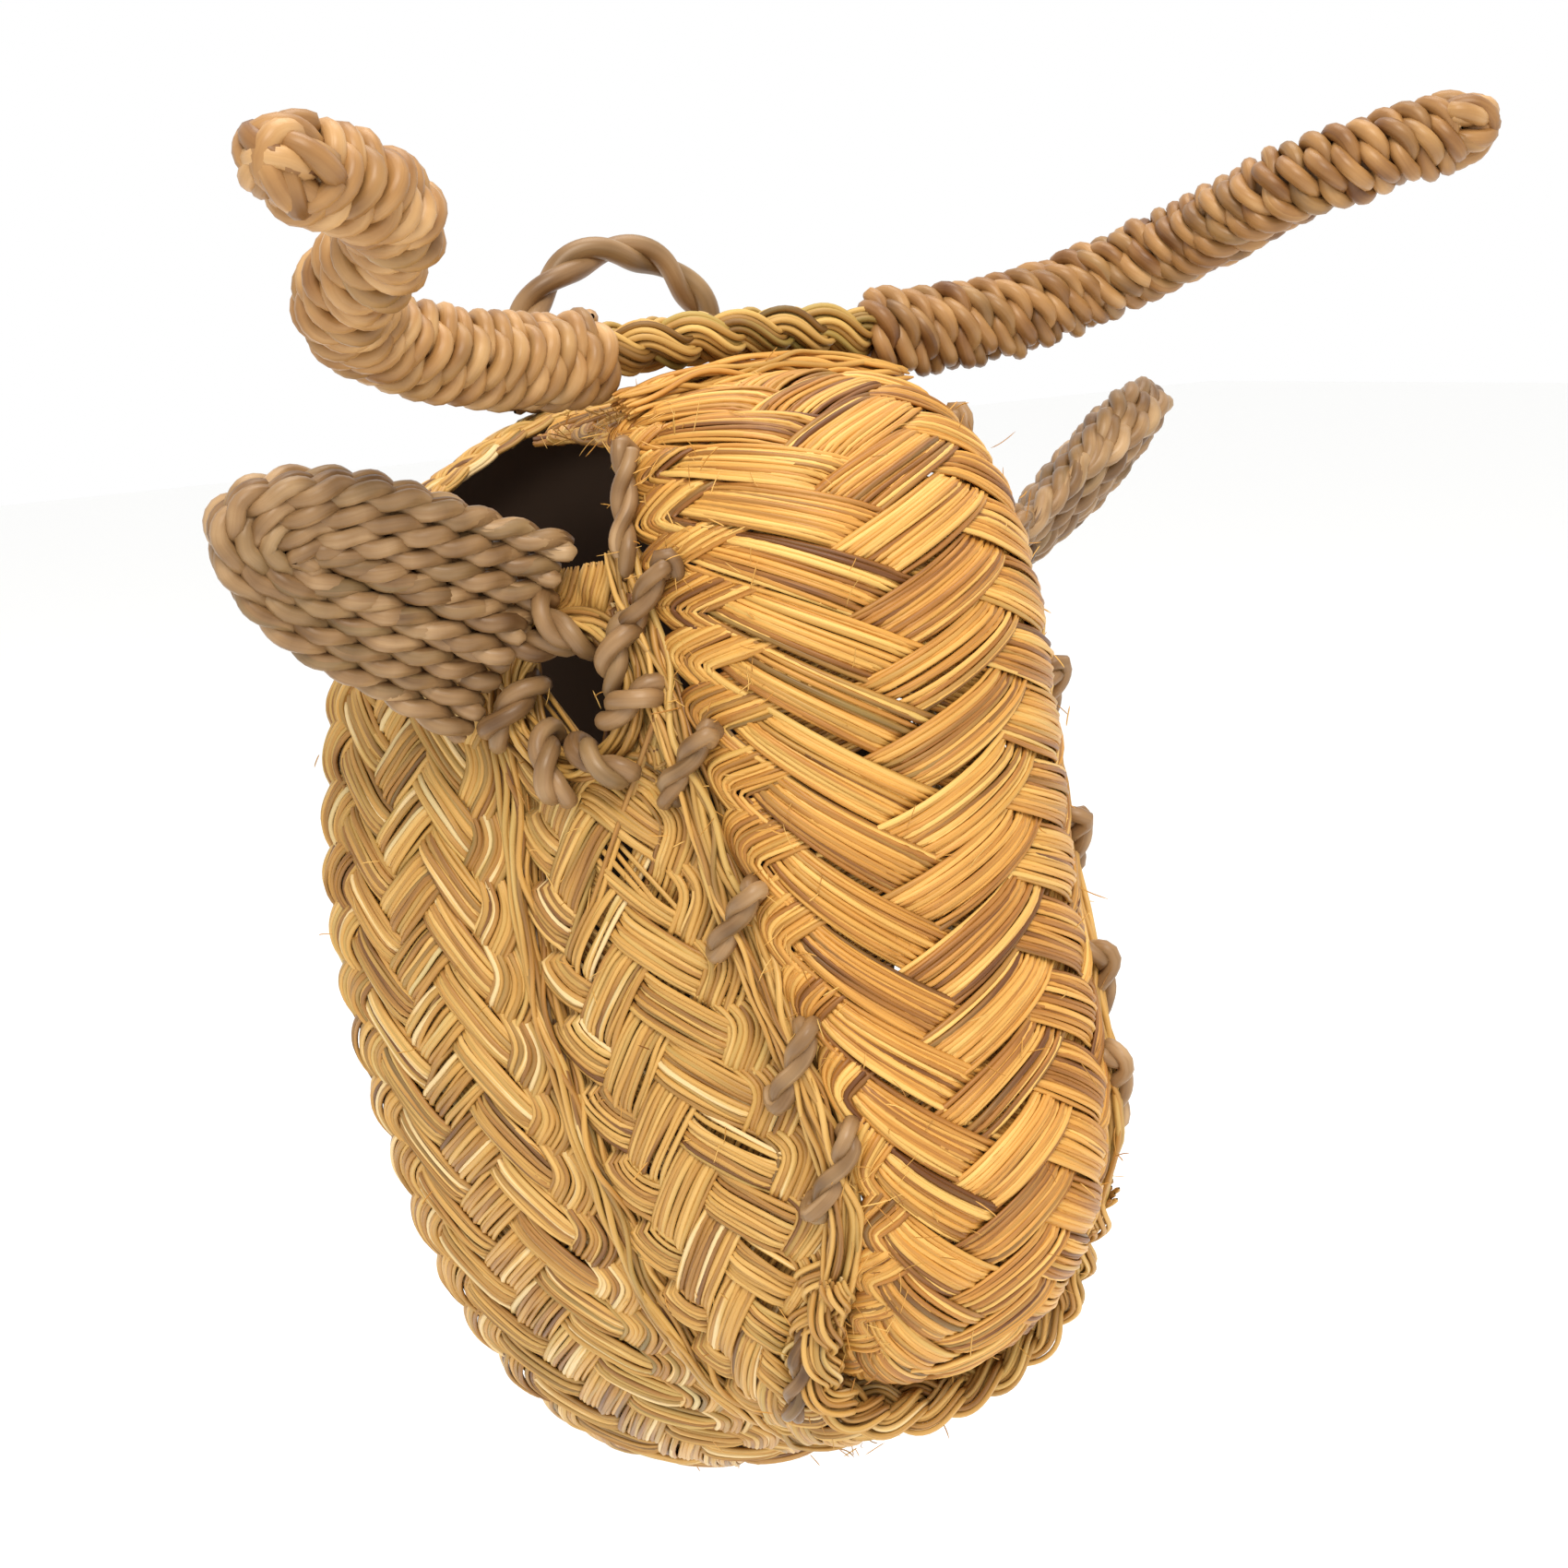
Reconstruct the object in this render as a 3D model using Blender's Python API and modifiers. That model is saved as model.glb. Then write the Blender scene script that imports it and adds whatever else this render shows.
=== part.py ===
"""Plaited esparto goat head for a wall: cord horns, cord ears, sewn strips and a hanging loop.

Metres, +Z up.  The origin is the inside of the hanging loop's top, on the wall plane Y = 0.
The head looks along -Y, and the goat's left is +X.
"""
import math

import bmesh
import bpy
from mathutils import Matrix, Vector

MM = 0.001

# ---- driving dimensions, in millimetres ---------------------------------------------------
WALL = 4.0                  # thickness of a plaited strip
GAP = 0.3                   # clearance kept between touching pieces
SEAM_GAP = 4.2              # space between two sewn strips, filled by the seam cord
SEAM_CORD = 2.2             # diameter of the sewing cord inside a seam
STITCH = 4.0                # diameter of a two-ply stitch cord
HORN_RADIUS = 8.2           # horn over its wrapping, at the base
HORN_TIP_RADIUS = 7.0       # horn over its wrapping, near the tip
WRAP_THICKNESS = 2.4        # one layer of wrapped cord
EAR_LENGTH = 49.0
EAR_WIDTH = 31.0
EAR_THICKNESS = 12.0
EYE_WIDTH = 18.0
EYE_HEIGHT = 17.0
EYE_U = 0.066               # place of the goat's left eye along the front strip
EYE_V = 0.48                # and across it
EYE_RIM_STEP = 1.2          # the rim cord's centre line outside the hole's edge
STITCH_LIFT = 2.9           # a stitch's centre line above the strip it lies on
STITCH_RISE = 6.5           # half of a seam stitch's height
STITCH_TOP_V = 0.81         # where a seam stitch starts across the nose band
STITCH_FOOT_V = 0.07        # and where it ends across the front strip
STITCH_HEIGHTS = [-37.5, -52.0, -74.0, -98.0, -121.0, -138.0]
LOOP_CORD = 6.5             # diameter of the hanging loop's cord
LOOP_FOOT_X = 21.0          # half the distance between the loop's two feet
LOOP_FOOT_Z = -15.4
KNOT_DROP = 6.2             # from the loop's feet down to the middle of a knot
LOOP_PLANE_Y = -4.0         # the loop's centre line, in front of the wall
HORN_END_CLEARANCE = 2.4    # room for the tilt of the horns' inner ends
OVERCUT = 3.0               # strips run this far past the wall plane before they are trimmed

# Nose band, crown to muzzle: (y, z) along its middle, and (half width, y, z) along its edge.
NOSE_MIDDLE = [(-15.5, -22.5), (-31, -21), (-46, -20.5), (-61, -17.8), (-79, -23.8), (-94, -37), (-102, -58),
               (-104, -86), (-106, -109), (-110.5, -130), (-113, -144), (-111, -160), (-103, -175),
               (-91, -185), (-80, -184)]
NOSE_EDGE = [(26, -15.5, -29), (27.5, -30, -28), (29, -42, -28), (31, -50, -28), (33, -57, -33),
             (34.5, -63, -43), (35, -68.5, -55), (34, -77.5, -77), (31.5, -86.5, -102), (28, -97, -125),
             (26, -101, -141), (25.2, -98.6, -154), (24.2, -93, -165), (22.5, -87, -174), (20.5, -81, -179)]

# Front jaw strip, temple to chin (x mirrored): its front edge, and its rear edge.
FRONT_EDGE = [(36, -59, -45), (36, -64.5, -58), (35.2, -73, -76), (32.8, -82.5, -102), (29.6, -93, -126),
              (27.6, -98.4, -143), (27.2, -95.4, -157), (27, -89.6, -170), (24.5, -86, -181.5),
              (14.5, -84, -189.5), (0, -84, -192)]
MIDDLE_EDGE = [(47, -36, -49), (48, -39, -62), (49, -43, -82), (50, -48, -112), (48, -57, -139),
               (44, -62, -160), (38.5, -64.5, -174), (31, -65, -186), (22, -64, -196), (11, -61, -205),
               (0, -60, -208)]
# Rear jaw strip: its rear edge lies on the wall.
REAR_EDGE = [(53, 0, -50), (60, 0, -62), (64.5, 0, -78), (67, 0, -105), (65, 0, -130), (60, 0, -155),
             (54.5, 0, -175), (46, 0, -195), (33, 0, -214), (17, 0, -228), (0, 0, -234)]
# Rear arch over the top of the head, from one rear strip end to the other (x mirrored).
ARCH_REAR = [(50, 0, -45), (46, 0, -39), (37, 0, -33), (20, 0, -25.5), (0, 0, -22.5)]
ARCH_WIDTH = 11.5

HORN_LINE = [(27.5, -43.5, -14), (41, -46.5, -13.8), (56, -50, -12), (69, -53, -8.5), (78, -60, -4),
             (81.5, -70, -0.5), (82, -81, 3.5), (84, -92, 7.5), (92, -101.5, 11), (103.5, -107.5, 14)]
HORN_TIP_END = (111.5, -112, 16)
LOOP_LINE = [(-21, -15.4), (-20.2, -10.5), (-16.5, -5), (-9, 1.2), (0, 3.25), (9, 1.2), (16.5, -5),
             (20.2, -10.5), (21, -15.4)]
INSIDE = Vector((0.0, -45.0, -110.0))     # a point within the head that every strip faces away from

collection = None
cutters = None


# ---- curves and surfaces ------------------------------------------------------------------
def spline(points, t):
    """Point at t in 0..1 on the smooth curve through evenly numbered points."""
    last = len(points) - 1
    position = min(max(t, 0.0), 1.0) * last
    index = min(int(position), last - 1)
    f = position - index
    p1 = Vector(points[index])
    p2 = Vector(points[index + 1])
    p0 = Vector(points[index - 1]) if index > 0 else 2 * p1 - p2
    p3 = Vector(points[index + 2]) if index + 2 <= last else 2 * p2 - p1
    return 0.5 * (2 * p1 + (p2 - p0) * f + (2 * p0 - 5 * p1 + 4 * p2 - p3) * f * f
                  + (3 * p1 - p0 - 3 * p2 + p3) * f ** 3)


def mirrored(half):
    """A list from one side's end through the middle to the other side's end."""
    right = [Vector(p) for p in half]
    left = [Vector((-p[0], p[1], p[2])) for p in half[-2::-1]]
    return right + left


def nose_point(u, v):
    """Nose band: u runs crown to muzzle, v runs -1 (goat's right) to 1 (goat's left)."""
    middle = spline(NOSE_MIDDLE, u)
    edge = spline(NOSE_EDGE, u)
    angle = v * math.pi / 2
    rise = math.cos(angle)
    return Vector((edge.x * math.sin(angle), edge.y + (middle.x - edge.y) * rise,
                   edge.z + (middle.y - edge.z) * rise))


def inset(edge, towards, distance):
    """An edge moved by a distance towards its partner edge."""
    return [Vector(a) + (Vector(b) - Vector(a)).normalized() * distance for a, b in zip(edge, towards)]


def ruled_point(front, rear, bulge):
    """A strip between two edges, bowed out in the middle: a function of u along and v across."""
    front = mirrored(front)
    rear = mirrored(rear)

    def flat(u, v):
        return spline(front, u).lerp(spline(rear, u), v)

    def point(u, v):
        step = 0.004
        along = flat(min(u + step, 1.0), v) - flat(max(u - step, 0.0), v)
        across = spline(rear, u) - spline(front, u)
        out = along.cross(across).normalized()
        if out.dot(flat(u, v) - INSIDE) < 0:
            out = -out
        return flat(u, v) + out * bulge * 4 * v * (1 - v)
    return point


def outward(surface, u, v):
    """Unit normal of a surface function, facing away from the inside of the head."""
    step = 0.006
    along = surface(min(u + step, 1.0), v) - surface(max(u - step, 0.0), v)
    across = surface(u, v + step) - surface(u, v - step)
    normal = along.cross(across).normalized()
    return normal if normal.dot(surface(u, v) - INSIDE) > 0 else -normal


def past_wall(edge):
    """The rear edge carried on past the wall plane, so that the trim leaves a flat face."""
    return [(p[0], p[1] + OVERCUT, p[2]) for p in edge]


REAR_FRONT = inset(MIDDLE_EDGE, REAR_EDGE, SEAM_GAP)
ARCH_FRONT = [(x * 0.985, -ARCH_WIDTH, z) for x, y, z in ARCH_REAR]
front_point = ruled_point(FRONT_EDGE, MIDDLE_EDGE, 3.0)
rear_point = ruled_point(REAR_FRONT, past_wall(REAR_EDGE), 3.5)
arch_point = ruled_point(ARCH_FRONT, past_wall(ARCH_REAR), 1.2)


# ---- object builders ----------------------------------------------------------------------
def new_object(name, bm, look, smooth=True):
    """Turn a closed bmesh in millimetres into a named object of the part."""
    if bm.calc_volume(signed=True) < 0:
        bmesh.ops.reverse_faces(bm, faces=bm.faces)
    bmesh.ops.scale(bm, vec=(MM, MM, MM), verts=bm.verts)
    mesh = bpy.data.meshes.new(name)
    bm.to_mesh(mesh)
    bm.free()
    obj = bpy.data.objects.new(name, mesh)
    collection.objects.link(obj)
    mesh.materials.append(look)
    if smooth:
        mesh.shade_smooth()
        mesh.set_sharp_from_angle(angle=math.radians(50))
    return obj


def strip(name, surface, rows, columns, look, v_from=0.0):
    """A plaited strip: an open lofted sheet, thickened inwards."""
    bm = bmesh.new()
    grid = []
    for row in range(rows + 1):
        line = []
        for column in range(columns + 1):
            v = v_from + (1.0 - v_from) * column / columns
            line.append(bm.verts.new(surface(row / rows, v)))
        grid.append(line)
    for row in range(rows):
        for column in range(columns):
            bm.faces.new((grid[row][column], grid[row][column + 1],
                          grid[row + 1][column + 1], grid[row + 1][column]))
    bm.normal_update()
    facing = sum(f.normal.dot(f.calc_center_median() - INSIDE) for f in bm.faces)
    if facing < 0:
        bmesh.ops.reverse_faces(bm, faces=bm.faces)
    obj = new_sheet(name, bm, look)
    shell = obj.modifiers.new("thickness", "SOLIDIFY")
    shell.thickness = WALL * MM
    shell.offset = -1.0
    return obj


def new_sheet(name, bm, look):
    """Like new_object, but it keeps the sheet's own facing."""
    bmesh.ops.scale(bm, vec=(MM, MM, MM), verts=bm.verts)
    mesh = bpy.data.meshes.new(name)
    bm.to_mesh(mesh)
    bm.free()
    obj = bpy.data.objects.new(name, mesh)
    collection.objects.link(obj)
    mesh.materials.append(look)
    mesh.shade_smooth()
    return obj


def cord(name, points, diameter, look, cyclic=False, resolution=2):
    """A plain round cord along a smooth run of points."""
    curve = bpy.data.curves.new(name, "CURVE")
    curve.dimensions = "3D"
    curve.bevel_depth = diameter / 2 * MM
    curve.bevel_resolution = resolution
    curve.use_fill_caps = not cyclic
    run = curve.splines.new("POLY")
    run.points.add(len(points) - 1)
    for slot, point in zip(run.points, points):
        slot.co = (point.x * MM, point.y * MM, point.z * MM, 1.0)
    run.use_cyclic_u = cyclic
    curve.materials.append(look)
    obj = bpy.data.objects.new(name, curve)
    collection.objects.link(obj)
    return obj


def sampled(points, count):
    """Evenly numbered points on the smooth curve through a route."""
    return [spline(points, i / (count - 1)) for i in range(count)]


def cut(obj, cutter):
    """Take a cutter's shape out of an object."""
    boolean = obj.modifiers.new("cut", "BOOLEAN")
    boolean.operation = "DIFFERENCE"
    boolean.solver = "EXACT"
    boolean.object = cutter


def as_cutter(obj):
    """Mark an object as a guide that isn't part of the model."""
    for owner in obj.users_collection:
        owner.objects.unlink(obj)
    cutters.objects.link(obj)
    obj.hide_render = True
    obj.display_type = "WIRE"
    return obj


def ring_section(centre, tangent, radius, sides):
    """Points of one round section, square to the tangent."""
    side = tangent.cross(Vector((0, 0, 1))).normalized()
    up = side.cross(tangent).normalized()
    ring = []
    for i in range(sides):
        angle = 2 * math.pi * i / sides
        ring.append(centre + (side * math.cos(angle) + up * math.sin(angle)) * radius)
    return ring


def swept(line, radius_at, count, sides, closed):
    """A bmesh skin swept along a route; closed skins get flat end caps."""
    bm = bmesh.new()
    rings = []
    for i in range(count):
        t = i / (count - 1)
        here = spline(line, t)
        tangent = spline(line, min(t + 0.01, 1.0)) - spline(line, max(t - 0.01, 0.0))
        ring = ring_section(here, tangent.normalized(), radius_at(t), sides)
        rings.append([bm.verts.new(p) for p in ring])
    for first, second in zip(rings, rings[1:]):
        for i in range(sides):
            j = (i + 1) % sides
            bm.faces.new((first[i], first[j], second[j], second[i]))
    if closed:
        bm.faces.new(rings[0][::-1])
        bm.faces.new(rings[-1])
    return bm


def ellipsoid(name, centre, axes, radii, look, segments=14, rings=8, taper=0.0):
    """A rounded lump on three axes; taper thins it towards the start of its first axis."""
    bm = bmesh.new()
    bmesh.ops.create_uvsphere(bm, u_segments=segments, v_segments=rings, radius=1.0)
    frame = Matrix((axes[0], axes[1], axes[2])).transposed()
    for vert in bm.verts:
        along = vert.co.z
        thin = 1.0 + taper * along
        local = Vector((along * radii[0], vert.co.x * radii[1] * thin, vert.co.y * radii[2] * thin))
        vert.co = Vector(centre) + frame @ local
    return new_object(name, bm, look)


# ---- materials ----------------------------------------------------------------------------
def material(name, colour, roughness):
    made = bpy.data.materials.new(name)
    made.use_nodes = True
    shader = made.node_tree.nodes["Principled BSDF"]
    shader.inputs["Base Color"].default_value = (*colour, 1.0)
    shader.inputs["Roughness"].default_value = roughness
    shader.inputs["Metallic"].default_value = 0.0
    return made


# ---- sub-parts ----------------------------------------------------------------------------
def wall_cutter():
    """A block behind the wall plane."""
    bm = bmesh.new()
    bmesh.ops.create_cube(bm, size=1.0)
    bmesh.ops.scale(bm, vec=(300, 30, 400), verts=bm.verts)
    bmesh.ops.translate(bm, vec=(0, 15, -110), verts=bm.verts)
    return as_cutter(new_object("wall_cutter", bm, None, smooth=False))


def on_strip(surface, u, v, lift):
    """A point held a little way off a strip."""
    return surface(u, v) + outward(surface, u, v) * lift


def eye_frame(side):
    """Centre, across and along directions of an eye on the front strip."""
    u = EYE_U if side > 0 else 1 - EYE_U
    centre = front_point(u, EYE_V)
    normal = outward(front_point, u, EYE_V)
    across = (front_point(u, EYE_V + 0.1) - front_point(u, EYE_V - 0.1)).normalized()
    return centre, across, normal.cross(across).normalized(), normal


def eye_cutter(side, name):
    centre, across, along, normal = eye_frame(side)
    bm = bmesh.new()
    bmesh.ops.create_cone(bm, cap_ends=True, segments=24, radius1=1.0, radius2=1.0, depth=30.0)
    frame = Matrix((across, along, normal)).transposed()
    for vert in bm.verts:
        local = Vector((vert.co.x * EYE_WIDTH / 2, vert.co.y * EYE_HEIGHT / 2, vert.co.z))
        vert.co = centre + frame @ local
    return as_cutter(new_object(name, bm, None, smooth=False))


def eye_rim(side, name, cord_material):
    """The cord whipped round an eye hole, lying on the strip at the hole's edge."""
    centre, across, along, normal = eye_frame(side)
    points = []
    for i in range(22):
        angle = 2 * math.pi * i / 22
        flat = centre + across * math.cos(angle) * (EYE_WIDTH / 2 + EYE_RIM_STEP) \
            + along * math.sin(angle) * (EYE_HEIGHT / 2 + EYE_RIM_STEP)
        points.append(flat + normal * STITCH_LIFT)
    return cord(name, points, STITCH, cord_material, cyclic=True)


def horn_radius(t):
    return HORN_RADIUS + (HORN_TIP_RADIUS - HORN_RADIUS) * t


def horn(side, label, straw, tan_cord):
    """One horn: a straw core, the cord wrapped round it, and the two folded cord ends."""
    line = [(side * x, y, z) for x, y, z in HORN_LINE]
    end = Vector((side * HORN_TIP_END[0], *HORN_TIP_END[1:]))
    core_line = line + [Vector(line[-1]).lerp(end, 0.12)]
    core = swept(core_line, lambda t: horn_radius(t) - WRAP_THICKNESS - 2 * GAP, 26, 14, closed=True)
    new_object(f"horn_core_{label}", core, straw)
    skin = swept(line, horn_radius, 26, 14, closed=False)
    skin.normal_update()
    first = skin.faces[:][0]
    if first.normal.dot(first.calc_center_median() - Vector(line[0])) < 0:
        bmesh.ops.reverse_faces(skin, faces=skin.faces)
    wrap = new_sheet(f"horn_wrap_{label}", skin, tan_cord)
    shell = wrap.modifiers.new("thickness", "SOLIDIFY")
    shell.thickness = WRAP_THICKNESS * MM
    shell.offset = -1.0
    start = core_line[-1]
    axis = (end - start).normalized()
    across = axis.cross(Vector((0, 0, 1))).normalized()
    up = across.cross(axis).normalized()
    half = (end - start).length / 2
    centre = start + axis * (half + GAP)
    ellipsoid(f"horn_tip_{label}", centre, (axis, across, up), (half, 5.8, 6.9), tan_cord, 14, 8)


def ear(side, label, tip, width_direction, cord_material):
    """One ear: a thick leaf of coiled cord, widest at the head."""
    base = Vector((side * 52.5, -48.5, -55.5))
    axis = (Vector(tip) - base).normalized()
    width = Vector(width_direction)
    width = (width - axis * width.dot(axis)).normalized()
    normal = axis.cross(width).normalized()
    centre = base + axis * EAR_LENGTH / 2
    radii = (EAR_LENGTH / 2, EAR_WIDTH / 2, EAR_THICKNESS / 2)
    ellipsoid(f"ear_{label}", centre, (axis, width, normal), radii, cord_material, 20, 12, taper=-0.22)


def ear_lashing(side, label, cord_material):
    """The cord that ties an ear down beside the eye."""
    route = []
    for u, v in ((0.004, 0.62), (0.014, 0.72), (0.028, 0.80)):
        along = u if side > 0 else 1 - u
        route.append(on_strip(front_point, along, v, STITCH_LIFT))
    cord(f"ear_lashing_{label}", sampled(route, 6), STITCH, cord_material)


def at_height(edge, height):
    """Where along an edge that runs downwards the height is reached, as a share of its points."""
    low, high = 0.0, 1.0
    for _ in range(30):
        middle = (low + high) / 2
        if spline(edge, middle).z > height:
            low = middle
        else:
            high = middle
    return low


SEAM_START = 3              # the nose band's edge points from here on run down the seam
SEAM_POINTS = 9
FRONT_SEAM = FRONT_EDGE[:7]


def nose_seam_u(height):
    seam = NOSE_EDGE[SEAM_START:SEAM_START + SEAM_POINTS]
    return (SEAM_START + at_height(seam, height) * (SEAM_POINTS - 1)) / (len(NOSE_EDGE) - 1)


def front_seam_u(height, side):
    half = at_height(FRONT_SEAM, height) * (len(FRONT_SEAM) - 1) / (len(FRONT_EDGE) - 1) / 2
    return half if side > 0 else 1 - half


def seam_stitch(side, number, label, cord_material):
    """One slanting stitch from the nose band down to the front strip."""
    height = STITCH_HEIGHTS[number]
    top = on_strip(nose_point, nose_seam_u(height + STITCH_RISE), side * STITCH_TOP_V, STITCH_LIFT)
    low = height - STITCH_RISE
    if low > FRONT_EDGE[0][2]:
        foot = on_strip(nose_point, nose_seam_u(low), side * 0.99, STITCH_LIFT)
    else:
        foot = on_strip(front_point, front_seam_u(low, side), STITCH_FOOT_V, STITCH_LIFT)
    route = [top.lerp(foot, i / 4) for i in range(5)]
    cord(f"seam_stitch_{label}_{number + 1}", route, STITCH, cord_material)


def mouth_stitch(side, label, cord_material):
    """The cord wrapped over the corner of the mouth."""
    route = []
    for u, v in ((0.345, 0.10), (0.362, 0.07), (0.380, 0.12), (0.395, 0.24)):
        along = u if side > 0 else 1 - u
        route.append(on_strip(front_point, along, v, STITCH_LIFT))
    cord(f"mouth_stitch_{label}", sampled(route, 8), STITCH, cord_material)


def jaw_seam_cord(cord_material):
    """The sewing cord that lies inside the seam between the two jaw strips."""
    route = []
    for i in range(57):
        u = 0.01 + 0.98 * i / 56
        before = front_point(u, 1.0) - outward(front_point, u, 0.995) * WALL / 2
        behind = rear_point(u, 0.0) - outward(rear_point, u, 0.005) * WALL / 2
        route.append(before.lerp(behind, 0.5))
    cord("jaw_seam_cord", route, SEAM_CORD, cord_material)


def crown_braid(straw):
    """The thick braid that lies over the crown between the horns."""
    half = HORN_LINE[0][0] - HORN_END_CLEARANCE
    line = [(-half, -43.5, -13.0), (-half / 2, -44.2, -12.2), (0, -44.5, -12.0), (half / 2, -44.2, -12.2),
            (half, -43.5, -13.0)]
    bm = swept(line, lambda t: 6.2, 13, 12, closed=True)
    new_object("crown_braid", bm, straw)


def hanging_loop(cord_material):
    """The carrying loop, on an empty at its hinge line, and the knots that hold its feet."""
    hinge = bpy.data.objects.new("loop_hinge", None)
    collection.objects.link(hinge)
    hinge.location = (0.0, LOOP_PLANE_Y * MM, LOOP_FOOT_Z * MM)
    route = [Vector((x, 0.0, z - LOOP_FOOT_Z)) for x, z in LOOP_LINE]
    loop = cord("hanging_loop", sampled(route, 31), LOOP_CORD, cord_material, resolution=3)
    loop.parent = hinge
    for side, label in ((1, "left"), (-1, "right")):
        centre = (side * LOOP_FOOT_X, LOOP_PLANE_Y - 1.0, LOOP_FOOT_Z - KNOT_DROP)
        axes = (Vector((0, 0, 1)), Vector((1, 0, 0)), Vector((0, 1, 0)))
        ellipsoid(f"loop_knot_{label}", centre, axes, (2.6, 4.4, 4.2), cord_material, 12, 8)


def build():
    global collection, cutters
    for old in list(bpy.data.objects):
        bpy.data.objects.remove(old, do_unlink=True)
    collection = bpy.data.collections.new("goat_head")
    cutters = bpy.data.collections.new("cutters")
    bpy.context.scene.collection.children.link(collection)
    bpy.context.scene.collection.children.link(cutters)

    golden = material("golden_straw", (0.72, 0.38, 0.10), 0.55)
    pale = material("pale_straw", (0.60, 0.39, 0.13), 0.6)
    green = material("green_straw", (0.42, 0.33, 0.12), 0.6)
    tan_cord = material("tan_cord", (0.55, 0.33, 0.13), 0.45)
    grey_cord = material("grey_cord", (0.38, 0.25, 0.14), 0.5)

    behind = wall_cutter()
    strip("nose_band", nose_point, 44, 12, golden, v_from=-1.0)
    front = strip("front_jaw_strip", front_point, 48, 6, pale)
    rear = strip("rear_jaw_strip", rear_point, 48, 6, pale)
    arch = strip("rear_arch", arch_point, 20, 3, pale)
    cut(rear, behind)
    cut(arch, behind)
    for side, label in ((1, "left"), (-1, "right")):
        cut(front, eye_cutter(side, f"eye_cutter_{label}"))
        eye_rim(side, f"eye_rim_{label}", grey_cord)
        horn(side, label, green, tan_cord)
        ear_lashing(side, label, grey_cord)
        mouth_stitch(side, label, grey_cord)
        for number in range(len(STITCH_HEIGHTS)):
            seam_stitch(side, number, label, grey_cord)
    ear(-1, "right", (-94.0, -46.5, -33.0), (0.30, -0.35, 0.89), grey_cord)
    ear(1, "left", (92.0, -44.0, -31.0), (-0.13, -0.80, 0.58), grey_cord)
    jaw_seam_cord(green)
    crown_braid(green)
    hanging_loop(grey_cord)


build()
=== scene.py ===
"""Plaited straw goat head: woven strips, cord-wrapped horns, coiled cord ears and a twisted hanging loop.

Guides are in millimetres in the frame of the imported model, and are the same routes as the CAD's.
Every culm of straw and every ply of cord is its own tube of mesh.
"""
import math

import bpy
import numpy as np
from mathutils import Matrix, Vector


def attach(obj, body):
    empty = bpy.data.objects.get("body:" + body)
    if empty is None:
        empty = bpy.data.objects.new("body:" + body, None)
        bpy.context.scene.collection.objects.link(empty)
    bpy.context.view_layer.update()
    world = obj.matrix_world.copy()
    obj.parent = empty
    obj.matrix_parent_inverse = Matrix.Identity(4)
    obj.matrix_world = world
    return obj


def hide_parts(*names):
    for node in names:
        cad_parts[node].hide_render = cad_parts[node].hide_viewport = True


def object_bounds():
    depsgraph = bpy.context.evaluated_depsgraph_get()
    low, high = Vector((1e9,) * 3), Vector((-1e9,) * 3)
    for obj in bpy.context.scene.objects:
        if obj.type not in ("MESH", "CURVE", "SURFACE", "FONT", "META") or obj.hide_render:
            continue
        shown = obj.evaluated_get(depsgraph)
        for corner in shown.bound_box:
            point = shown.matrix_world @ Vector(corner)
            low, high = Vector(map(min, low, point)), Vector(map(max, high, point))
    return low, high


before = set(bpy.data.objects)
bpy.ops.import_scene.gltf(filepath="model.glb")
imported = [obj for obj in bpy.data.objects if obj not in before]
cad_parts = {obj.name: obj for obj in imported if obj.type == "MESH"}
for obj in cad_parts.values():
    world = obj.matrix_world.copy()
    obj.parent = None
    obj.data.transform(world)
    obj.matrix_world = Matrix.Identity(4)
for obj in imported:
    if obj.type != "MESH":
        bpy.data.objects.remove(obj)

MM = 0.001
cad_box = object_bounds()
GOLDEN_ANGLE = math.pi * (3 - math.sqrt(5))     # spreads culms evenly over a bundle's section
rng = np.random.default_rng(11)

# ---- guides shared with the CAD, in millimetres --------------------------------------------
NOSE_MIDDLE = [(-15.5, -22.5), (-31, -21), (-46, -20.5), (-61, -17.8), (-79, -23.8), (-94, -37), (-102, -58),
               (-104, -86), (-106, -109), (-110.5, -130), (-113, -144), (-111, -160), (-103, -175),
               (-91, -185), (-80, -184)]
NOSE_EDGE = [(26, -15.5, -29), (27.5, -30, -28), (29, -42, -28), (31, -50, -28), (33, -57, -33),
             (34.5, -63, -43), (35, -68.5, -55), (34, -77.5, -77), (31.5, -86.5, -102), (28, -97, -125),
             (26, -101, -141), (25.2, -98.6, -154), (24.2, -93, -165), (22.5, -87, -174), (20.5, -81, -179)]
FRONT_EDGE = [(36, -59, -45), (36, -64.5, -58), (35.2, -73, -76), (32.8, -82.5, -102), (29.6, -93, -126),
              (27.6, -98.4, -143), (27.2, -95.4, -157), (27, -89.6, -170), (24.5, -86, -181.5),
              (14.5, -84, -189.5), (0, -84, -192)]
MIDDLE_EDGE = [(47, -36, -49), (48, -39, -62), (49, -43, -82), (50, -48, -112), (48, -57, -139),
               (44, -62, -160), (38.5, -64.5, -174), (31, -65, -186), (22, -64, -196), (11, -61, -205),
               (0, -60, -208)]
REAR_EDGE = [(53, 0, -50), (60, 0, -62), (64.5, 0, -78), (67, 0, -105), (65, 0, -130), (60, 0, -155),
             (54.5, 0, -175), (46, 0, -195), (33, 0, -214), (17, 0, -228), (0, 0, -234)]
ARCH_REAR = [(50, 0, -45), (46, 0, -39), (37, 0, -33), (20, 0, -25.5), (0, 0, -22.5)]
ARCH_WIDTH = 11.5
HORN_LINE = [(27.5, -43.5, -14), (41, -46.5, -13.8), (56, -50, -12), (69, -53, -8.5), (78, -60, -4),
             (81.5, -70, -0.5), (82, -81, 3.5), (84, -92, 7.5), (92, -101.5, 11), (103.5, -107.5, 14)]
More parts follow.
